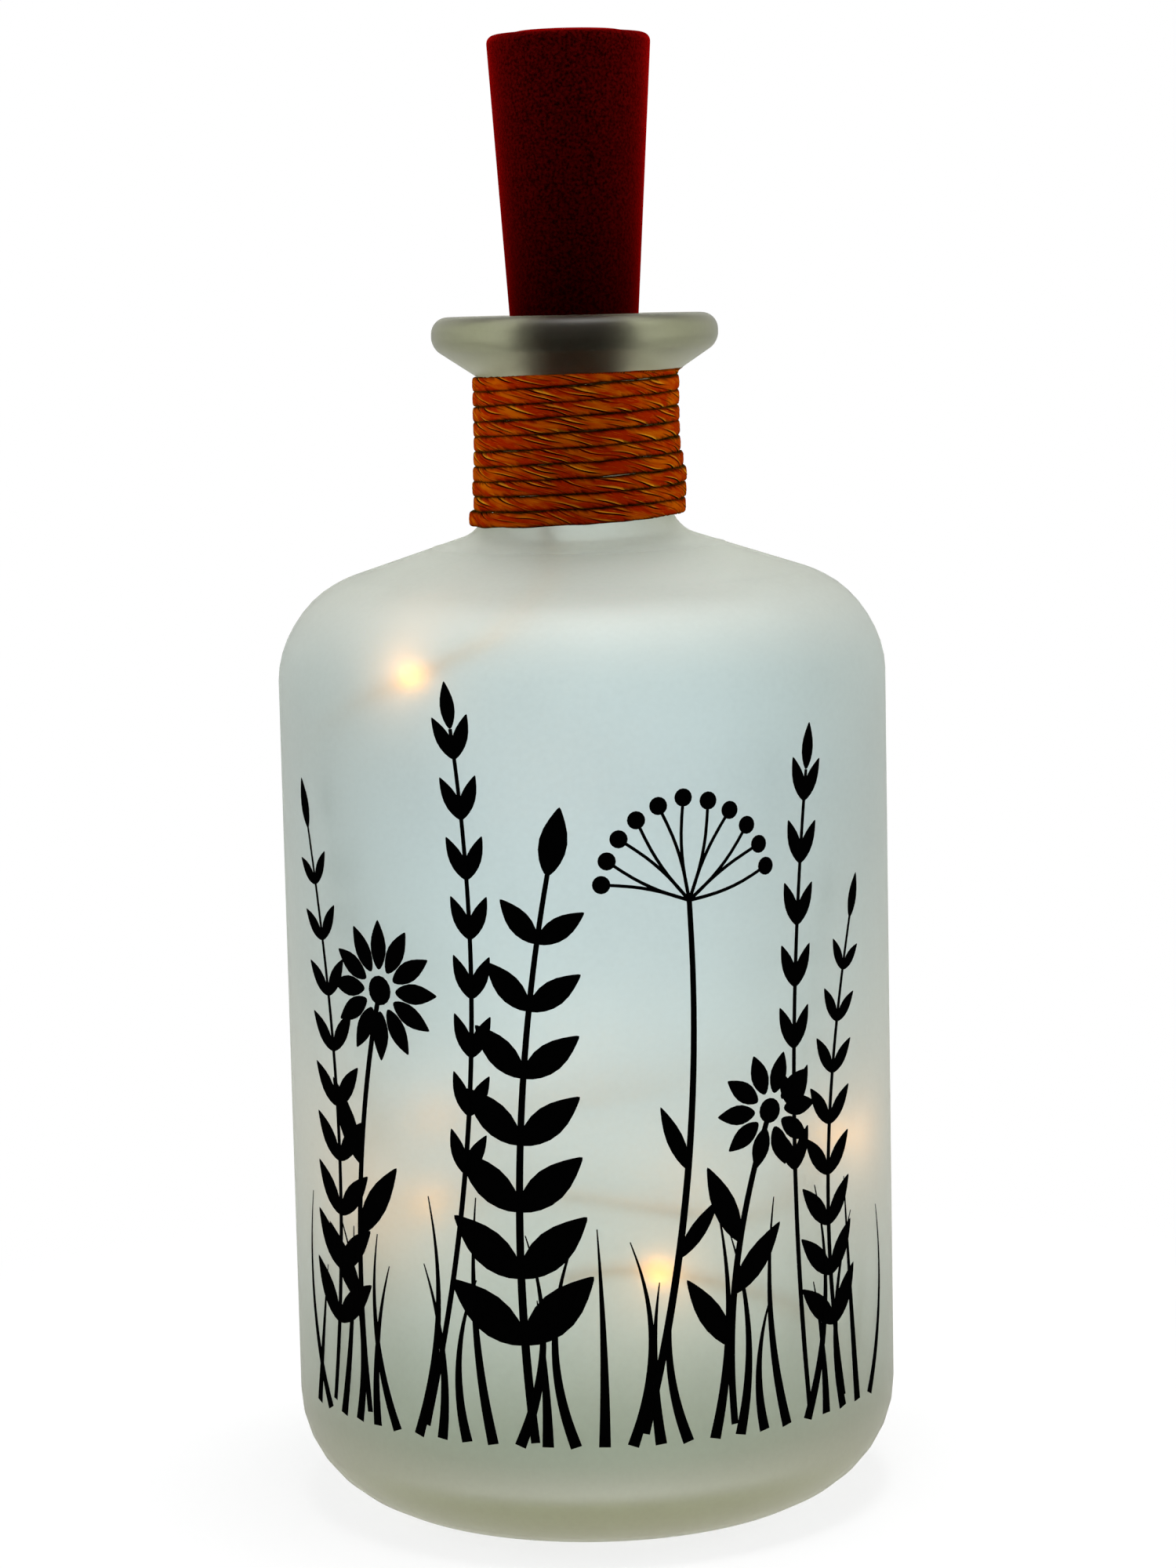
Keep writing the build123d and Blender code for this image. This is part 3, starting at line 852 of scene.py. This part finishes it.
# %% Rolling the print
strip_w = 2 * MM
white_edge = 0.22 * MM
white_lift = 0.03 * MM
black_lift = 0.07 * MM
film_t = 0.03 * MM


def cut_into_strips(sheet):
    low = min(vertex.co.x for vertex in sheet.data.vertices)
    high = max(vertex.co.x for vertex in sheet.data.vertices)
    start_editing(sheet)
    for k in range(1, int((high - low) / strip_w) + 1):
        bpy.ops.mesh.select_all(action="SELECT")
        bpy.ops.mesh.bisect(plane_co=(low + k * strip_w, 0, 0), plane_no=(1, 0, 0))
    bpy.ops.object.mode_set(mode="OBJECT")


def rolled(sheet, lift):
    """Rolls a flat sheet round the bottle, lift above the glass, and gives it the film's thickness."""
    for vertex in sheet.data.vertices:
        along, up, _ = vertex.co
        angle = along / body_r
        vertex.co = ((body_r + lift) * sin(angle), -(body_r + lift) * cos(angle), up)
    turn_faces_out(sheet)
    thicken = sheet.modifiers.new("thickness", "SOLIDIFY")
    thicken.thickness = film_t
    thicken.offset = 0
    bpy.ops.object.modifier_apply(modifier=thicken.name)
    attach(sheet, "bottle")


bpy.data.objects.remove(leaf_pattern)
only(film_parts[0])
for part in film_parts:
    part.select_set(True)
bpy.ops.object.join()
print_black = bpy.context.object
print_black.name = "print_black"
print_white = add_object("print_white", print_black.data.copy())
start_editing(print_white)
bpy.ops.mesh.inset(thickness=white_edge, use_boundary=True, use_even_offset=True, use_outset=True)
bpy.ops.object.mode_set(mode="OBJECT")
for sheet, lift in ((print_black, black_lift), (print_white, white_lift)):
    cut_into_strips(sheet)
    rolled(sheet, lift)
print("print faces:", len(print_black.data.polygons), len(print_white.data.polygons))

# %% [markdown]
# ## Frosted glass
# The frosting is a thin sprayed skin, so light goes through it but spreads. It is roughest at the foot of
# the neck, so its roughness changes with the height. Its tint changes with the height too: palest over the
# shoulder and the neck, which is partly a painted highlight of the top lamp, deepest at the heel, and dark
# on the lip, which is painted shade of the dark stopper behind the glass. The glass itself is not quite
# colourless: what has come a long way through it, as in the thick foot, turns a dull olive, by volume
# absorption.

# %% Frosted glass
# Each stop of the tint is a height in millimetres and a colour, from the foot up. The pale stops over the
# shoulder are partly a painted highlight, and the dark ones on the lip are painted shade.
tint_stops = [
    (0, (0.94, 0.97, 0.96)), (6, (0.80, 0.85, 0.81)), (14, (0.57, 0.65, 0.59)), (32, (0.77, 0.87, 0.88)),
    (60, (0.84, 0.93, 0.95)), (100, (0.79, 0.88, 0.91)), (114, (0.81, 0.90, 0.92)), (122, (0.96, 1.0, 1.0)),
    (141, (0.95, 0.97, 0.92)), (147, (0.62, 0.60, 0.47)), (159, (0.48, 0.50, 0.39)),
]
roughness_stops = [(0, 0.42), (30, 0.50), (118, 0.50), (126, 0.64), (138, 0.64), (147, 0.44)]
deep_olive = (0.50, 0.52, 0.20, 1)
olive_density = 20.0

frosted_glass = finish_named(
    "frosted_glass", (0.77, 0.85, 0.88), 0.5, Transmission_Weight=1.0, IOR=1.5, Emission_Strength=1.0,
    Specular_IOR_Level=0.13, Specular_Tint=(0.3, 0.3, 0.28, 1))
glass_tree = frosted_glass.node_tree
glass_place = own_place(glass_tree)
glass_height = node(glass_tree, "ShaderNodeSeparateXYZ", [(0, glass_place)]).outputs["Z"]
glass_share = number_math(glass_tree, "DIVIDE", glass_height, bottle_h)


def by_height(stops):
    """A colour ramp over the height. A stop is a height in millimetres and a colour or a number."""
    ramp = node(glass_tree, "ShaderNodeValToRGB", [(0, glass_share)])
    points = ramp.color_ramp.elements
    points.remove(points[1])
    for number, (height, value) in enumerate(stops):
        point = points[0] if number == 0 else points.new(1)
        point.position = min(height * MM / bottle_h, 1)
        point.color = (*value, 1) if isinstance(value, tuple) else (value, value, value, 1)
    return ramp.outputs[0]


# The spray is a little uneven, in soft patches the size of a thumb and in fine specks
spray_patches = noise_on(glass_tree, glass_place, 60.0, 1.0)
spray_specks = noise_on(glass_tree, glass_place, 1400.0, 2.0)
uneven = number_math(glass_tree, "ADD", spray_patches, spray_specks)
evenness = mapped(glass_tree, uneven, 0.6, 1.4, 0.94, 1.04)
# The height tint, with its painted highlight on the shoulder and painted shade on the lip, is made a little
# uneven
tint_with_painted_light = scaled(glass_tree, by_height(tint_stops), evenness)
feed(frosted_glass, "Base Color", tint_with_painted_light)
# High in the bore, where the stopper rubs, the glass is smooth
smooth_reach = 0.4 * MM
smooth_low_z = 142 * MM
smooth_roughness = 0.08
flat_place = vector_math(glass_tree, "MULTIPLY", glass_place, (1, 1, 0))
glass_radius = vector_math(glass_tree, "LENGTH", flat_place)
in_bore = number_math(glass_tree, "LESS_THAN", glass_radius, bore_r + smooth_reach)
in_neck = number_math(glass_tree, "GREATER_THAN", glass_height, smooth_low_z)
smooth = number_math(glass_tree, "MULTIPLY", in_bore, in_neck)
glass_grain = node(glass_tree, "ShaderNodeMix", [
    (0, smooth), (2, by_height(roughness_stops)), (3, smooth_roughness)])
feed(frosted_glass, "Roughness", glass_grain.outputs[0])
olive = node(glass_tree, "ShaderNodeVolumeAbsorption", [("Color", deep_olive), ("Density", olive_density)])
glass_tree.links.new(olive.outputs[0], glass_tree.nodes["Material Output"].inputs["Volume"])
dress(bottle, frosted_glass)

# %% [markdown]
# ## Light on the frosting
# The frosting catches the light of each chip behind it, most where the chip is close and square on. This
# glow is painted light in the glass's emission colour. A node group adds it up for all ten: the chip's
# share times the cosine of the angle, over the distance squared.

# %% Light on the frosting
warm_white = (1.0, 0.46, 0.13)
light_power = 6.0e-6
# The chips differ in brightness, and each faces its own way in its drop
chip_shares = [0.72, 1.0, 1.05, 1.9, 1.0, 2.3, 1.0, 1.15, 1.0, 0.7]


def frosting_glow():
    """A node group that puts out how much light falls on the skin from behind."""
    tree, power, glow = value_group("frosting_glow", "Power", "Glow")
    place = own_place(tree)
    facing = tree.nodes.new("ShaderNodeNewGeometry").outputs["Normal"]
    total = 0.0
    for run, chip_share in zip(light_runs, chip_shares):
        away = vector_math(tree, "SUBTRACT", place, tuple(light_place(run).translation))
        square = vector_math(tree, "DOT_PRODUCT", away, away)
        cosine = vector_math(tree, "DOT_PRODUCT", vector_math(tree, "NORMALIZE", away), facing)
        bright = number_math(tree, "MULTIPLY", number_math(tree, "MAXIMUM", cosine, 0.0), chip_share)
        total = number_math(tree, "ADD", total, number_math(tree, "DIVIDE", bright, square))
    tree.links.new(number_math(tree, "MULTIPLY", total, power), glow)
    return tree


# The chips' glow is painted into the glass as emission
glow_color = scaled(glass_tree, warm_white, placed(frosted_glass, frosting_glow(), Power=light_power))
feed(frosted_glass, "Emission Color", glow_color)

# %% [markdown]
# ## Grain and wear
# Two small groups serve many finishes. One puts out a fine grain, for moulded plastic, rubber and the
# print's film. The other puts out streaks along one direction, as on rolled or drawn metal.

# %% Grain and wear
def grain_noise(name, squeeze, detail):
    """Noise on the object's own coordinates. Per_mm is how many grains fit in a millimetre."""
    tree, per_mm, value = value_group(name, "Per_mm", "Value")
    place = own_place(tree)
    squeezed = vector_math(tree, "MULTIPLY", place, squeeze)
    per_metre = number_math(tree, "MULTIPLY", per_mm, 1 / MM)
    tree.links.new(noise_on(tree, squeezed, per_metre, detail), value)
    return tree


def spread(material, value, low, high, target):
    """Maps a value from 0 to 1 onto a range, or between two colours, and feeds the shader's socket."""
    tree = material.node_tree
    if isinstance(low, tuple):
        made = blended(tree, mapped(tree, value, 0.35, 0.65), low, high)
    else:
        made = mapped(tree, value, 0.3, 0.7, low, high)
    feed(material, target, made)
    return made


def raised(material, value, height, distance):
    """Feeds a value to the shader's normal as a relief."""
    given = [("Height", value), ("Strength", height), ("Distance", distance)]
    feed(material, "Normal", node(material.node_tree, "ShaderNodeBump", given).outputs[0])


grain_group = grain_noise("fine_grain", (1, 1, 1), 3.0)
# The marks of drawing or rolling metal are long streaks, along Z
streak_group = grain_noise("drawn_streaks", (1, 1, 0.04), 2.0)

# %% [markdown]
# ## Plastic, rubber and metal
# The stopper is a very dark maroon plastic with a fine moulded grain. It hardly shines, but its colour
# comes up red where light grazes it, which is what a little sheen does.

# %% Plastic, rubber and metal
def moulded(name, color, roughness, per_mm, height, **sockets):
    """Moulded plastic: a fine grain in the relief, the roughness and, faintly, the colour."""
    material = finish_named(name, color, roughness, **sockets)
    grain = placed(material, grain_group, Per_mm=per_mm)
    spread(material, grain, roughness * 0.9, roughness * 1.12, "Roughness")
    spread(material, grain, tuple(c * 0.85 for c in color), tuple(c * 1.1 for c in color), "Base Color")
    raised(material, grain, height, 0.05 * MM)
    return material


def drawn_metal(name, color, roughness, per_mm):
    material = finish_named(name, color, roughness, Metallic=1.0)
    streaks = placed(material, streak_group, Per_mm=per_mm)
    spread(material, streaks, roughness * 0.7, roughness * 1.4, "Roughness")
    raised(material, streaks, 0.25, 0.02 * MM)
    return material


dark_plastic = finish_named(
    "dark_plastic", (0.016, 0.0003, 0.0003), 0.6, Specular_IOR_Level=0.0, Sheen_Weight=0.42,
    Sheen_Roughness=0.40, Sheen_Tint=(1.0, 0.004, 0.003, 1))
plastic_grain = placed(dark_plastic, grain_group, Per_mm=2.6)
mottle = spread(dark_plastic, plastic_grain, (0.004, 0.0001, 0.0001), (0.042, 0.0006, 0.0005), "Base Color")
spread(dark_plastic, plastic_grain, 0.45, 0.75, "Roughness")
raised(dark_plastic, plastic_grain, 0.6, 0.10 * MM)
# The red is painted light and shade: darkest just above the glass, as painted shade under the lip, and
# stronger towards the top, as painted light from above. Deep in the mouth it is painted strongest, as a
# painted red glow where the stopper shows through the lip.
lip_shade_share, top_light_share, seat_light_share = 0.45, 1.35, 4.0
seat_top_z = bottle_h - 4 * MM
seat_deep_z = bottle_h - 9 * MM
plastic_tree = dark_plastic.node_tree
plastic_place = own_place(plastic_tree)
plastic_height = node(plastic_tree, "ShaderNodeSeparateXYZ", [(0, plastic_place)]).outputs["Z"]
painted_top_light = mapped(plastic_tree, plastic_height, bottle_h - 2 * MM, cork_high.z, lip_shade_share, top_light_share)
painted_seat_light = mapped(plastic_tree, plastic_height, seat_top_z, seat_deep_z, 0.0, seat_light_share)
mottle_with_painted_light = scaled(plastic_tree, mottle, number_math(plastic_tree, "ADD", painted_top_light, painted_seat_light))
feed(dark_plastic, "Base Color", mottle_with_painted_light)
cradle_plastic = moulded("cradle_plastic", (0.46, 0.44, 0.37), 0.45, 3.0, 0.2, Specular_IOR_Level=0.4)
switch_plastic = moulded("switch_plastic", (0.012, 0.012, 0.013), 0.4, 4.0, 0.3, Specular_IOR_Level=0.4)
gland_rubber = moulded("grommet", (0.02, 0.02, 0.02), 0.75, 5.0, 0.5, Specular_IOR_Level=0.2)
contact_metal = drawn_metal("contact_metal", (0.80, 0.66, 0.36), 0.28, 9.0)
cell_steel = drawn_metal("cell_steel", (0.74, 0.74, 0.75), 0.2, 7.0)
bare_wire = drawn_metal("wire", (0.70, 0.42, 0.22), 0.3, 12.0)
board_green = moulded("board", (0.012, 0.11, 0.035), 0.3, 1.4, 0.1, Specular_IOR_Level=0.5)
resistor_black = moulded("resistor", (0.015, 0.015, 0.016), 0.35, 6.0, 0.2)
led_chip = finish_named("led_chip", (0.95, 0.72, 0.18), 0.4, Emission_Strength=3.0,
                        Emission_Color=(*warm_white, 1))
# The resin's warm emission is a painted glow of the chip's light; the drop itself is no lamp
clear_resin = finish_named("clear_resin", (0.98, 0.95, 0.88), 0.12, Transmission_Weight=0.7,
                           Emission_Strength=0.6, Emission_Color=(*warm_white, 1))

# %% [markdown]
# ## Paper twine
# The paper is dyed a rusty brown and fades to ochre. Fibre streaks run along the paper, so they follow the
# UV map. The folds get painted shade at their bottom and a painted highlight on their lips, and the creases
# between rows get painted shade, from values that the mesh keeps at each point. A little ochre sheen is
# what the loose fibres do to light that grazes them.

# %% Paper twine
rust = (0.25, 0.012, 0.0002)
ochre = (0.44, 0.105, 0.0008)
pale_fibre_and_highlight = (0.66, 0.28, 0.014)
# The dark of the painted shade in the folds and in the creases between rows
painted_shade_dark = (0.004, 0.0003, 0.0001)

paper_twine = finish_named("paper_twine", rust, 0.75, Specular_IOR_Level=0.0, Sheen_Weight=0.12,
                           Sheen_Roughness=0.3, Sheen_Tint=(1.0, 0.5, 0.01, 1))
paper = paper_twine.node_tree


def paper_noise(along, across, detail):
    """Noise on the twine's own map, with so many spots to a centimetre along it and round it."""
    lay = node(paper, "ShaderNodeUVMap", uv_map="paper").outputs[0]
    spots = vector_math(paper, "MULTIPLY", lay, (along, across, 1))
    given = [("Vector", spots), ("Scale", 1.0), ("Detail", detail), ("Roughness", 0.6)]
    return node(paper, "ShaderNodeTexNoise", given).outputs["Fac"]


fold = node(paper, "ShaderNodeAttribute", attribute_name="fold").outputs["Fac"]
crease_shade = node(paper, "ShaderNodeAttribute", attribute_name="crease_shade").outputs["Fac"]
fibres = paper_noise(6, 46, 4.0)
faded = paper_noise(1.6, 3, 2.0)
# Ochre patches and pale fibres are the paper's own colour; then come a painted highlight on the folds'
# lips, painted shade in their bottoms and painted shade in the creases between rows
paper_color = rust
for layer_share, layer_color in (
    (mapped(paper, faded, 0.47, 0.80), ochre), (mapped(paper, fibres, 0.58, 1.0), pale_fibre_and_highlight),
    (mapped(paper, fold, -0.25, -1.2), pale_fibre_and_highlight), (mapped(paper, fold, 0.1, 0.7), painted_shade_dark),
    (crease_shade, painted_shade_dark),
):
    paper_color = blended(paper, layer_share, paper_color, layer_color)
feed(paper_twine, "Base Color", paper_color)
raised(paper_twine, fibres, 0.6, 0.12 * MM)

# %% Every piece gets its finish
black_film = moulded("black_film", (0.0006, 0.0006, 0.0006), 0.55, 1.5, 0.1, Specular_IOR_Level=0.0)
white_film = moulded("white_film", (0.80, 0.82, 0.80), 0.55, 1.5, 0.1, Specular_IOR_Level=0.2)
dress(stopper, dark_plastic)
dress(twine, paper_twine)
dress(light_string, bare_wire)
dress(print_black, black_film)
dress(print_white, white_film)
for drop in drops:
    dress(drop, clear_resin)
for finish, names in (
    (dark_plastic, ["end_cap", "bottom_plug"]), (cradle_plastic, ["battery_cradle"]),
    (switch_plastic, ["switch_housing", "switch_knob"]), (gland_rubber, ["lead_grommet"]),
    (contact_metal, ["contact_spring", "return_contact", "top_contact", "return_strip"]),
    (cell_steel, ["button_cell_1", "button_cell_2", "button_cell_3"]), (board_green, ["driver_board"]),
    (resistor_black, ["board_resistor"]), (bare_wire, ["inner_lead"]), (led_chip, ["led_chips"]),
):
    for name in names:
        dress(nodes[name], finish)

# %% [markdown]
# ## The stage
# A pale floor and soft light from above, from the left and from the right. What the camera, a
# reflection or the glass sees behind the bottle is plain white, while the floor still takes a shadow.

# %% The stage
scene = bpy.context.scene
scene.view_settings.view_transform = "Standard"

bpy.ops.object.select_all(action="DESELECT")
bpy.ops.mesh.primitive_plane_add(size=4)
floor = bpy.context.object
floor.name = "floor"

world = bpy.data.worlds.new("studio")
scene.world = world
world.use_nodes = True


def seen_directly(tree):
    """1 for what the camera, a reflection or the glass sees, and 0 for light that falls on a surface."""
    path = tree.nodes.new("ShaderNodeLightPath")
    direct = number_math(tree, "MAXIMUM", path.outputs["Is Camera Ray"], path.outputs["Is Glossy Ray"])
    return number_math(tree, "MAXIMUM", direct, path.outputs["Is Transmission Ray"])


world_light = 0.5
sky = world.node_tree
sky_strength = mapped(sky, seen_directly(sky), 0.0, 1.0, world_light, 1.0)
sky.links.new(sky_strength, sky.nodes["Background"].inputs["Strength"])
sky.nodes["Background"].inputs["Color"].default_value = (1, 1, 1, 1)

# Near the bottle the floor keeps some shade, and further out it is as white as what lies behind it
shade_near = 40 * MM
shade_far = 160 * MM
white_near_share = 0.78
floor_finish = finish_named("pale_floor", (0.9, 0.9, 0.9), 0.9)
floor_tree = floor_finish.node_tree
floor_glow = node(floor_tree, "ShaderNodeEmission", [("Color", (1, 1, 1, 1)), ("Strength", 1.0)])
floor_place = own_place(floor_tree)
from_middle = vector_math(floor_tree, "LENGTH", floor_place)
whiteness = mapped(floor_tree, from_middle, shade_near, shade_far, white_near_share, 1.0)
floor_share = number_math(floor_tree, "MULTIPLY", seen_directly(floor_tree), whiteness)
floor_mix = node(floor_tree, "ShaderNodeMixShader", [
    (0, floor_share), (1, shader_of(floor_finish).outputs[0]), (2, floor_glow.outputs[0])])
floor_tree.links.new(floor_mix.outputs[0], floor_tree.nodes["Material Output"].inputs["Surface"])
dress(floor, floor_finish)

lamp_target = (0, 0, 0.12)


def softbox(name, place, width, depth, power):
    """A soft flat lamp that faces the bottle."""
    turn = (Vector(lamp_target) - Vector(place)).to_track_quat("-Z", "Y").to_euler()
    bpy.ops.object.light_add(type="AREA", location=place, rotation=turn)
    lamp = bpy.context.object
    lamp.name = name
    lamp.data.shape = "RECTANGLE"
    lamp.data.size = width
    lamp.data.size_y = depth
    lamp.data.energy = power
    return lamp


def wrap_light(name, place, power):
    """A lamp beside and behind the object that lights its sides but isn't mirrored or seen in the glass."""
    lamp = softbox(name, place, 0.4, 0.4, power)
    lamp.visible_glossy = False
    lamp.visible_transmission = False


# The top lamp hangs just in front of the bottle, so its soft gleam lies across the shoulder
softbox("top_light", (0.04, -0.06, 0.8), 0.3, 0.25, 4.2)
wrap_light("left_light", (-0.7, 0.12, 0.25), 2.8)
wrap_light("right_light", (0.7, 0.12, 0.25), 2.8)
